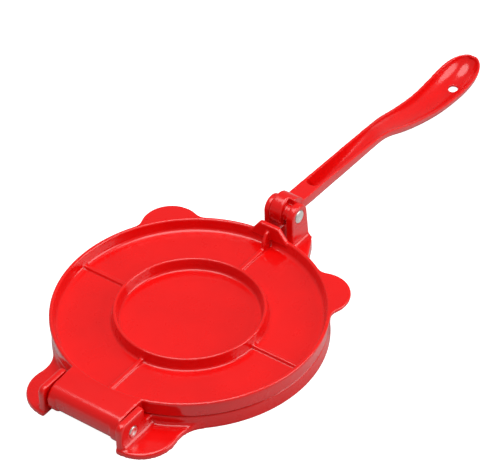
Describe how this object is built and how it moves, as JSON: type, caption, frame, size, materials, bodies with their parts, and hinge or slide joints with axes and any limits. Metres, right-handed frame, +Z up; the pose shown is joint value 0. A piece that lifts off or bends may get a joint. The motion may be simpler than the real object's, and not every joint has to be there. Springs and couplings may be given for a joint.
{
  "type": "patty press",
  "caption": "Hand press for patties or dough: two round hinged plates with a cast lever that folds over to squeeze them and swings back clear.",
  "frame": {"origin": "centre of the round plates on the surface the base stands on", "axes": "+Z up; +X from the plate hinge towards the lever's clevis and, at rest, along the lever; +Y completes the right-handed set, across the press"},
  "size_m": [0.5232, 0.21, 0.0473],
  "materials": {
    "red_enamel_base": "glossy",
    "red_enamel_plate": "glossy",
    "red_enamel_lever": "glossy",
    "pin_steel": "satin"
  },
  "bodies": {
    "base": {"base": "red_enamel_base", "hinge_pin_left": "pin_steel", "hinge_pin_right": "pin_steel", "lever_pin": "pin_steel"},
    "top_plate": {"top_plate": "red_enamel_plate"},
    "lever": {"lever": "red_enamel_lever"}
  },
  "joints": [
    {"name": "plate_hinge", "type": "hinge", "parent": "base", "child": "top_plate", "pos_m": [-0.1183, 0, 0.0123], "axis": [0, -1, 0], "range_deg": [0, 175]},
    {"name": "lever_swing", "type": "hinge", "parent": "base", "child": "lever", "pos_m": [0.1219, 0, 0.035], "axis": [0, -1, 0], "range_deg": [0, 160]}
  ]
}
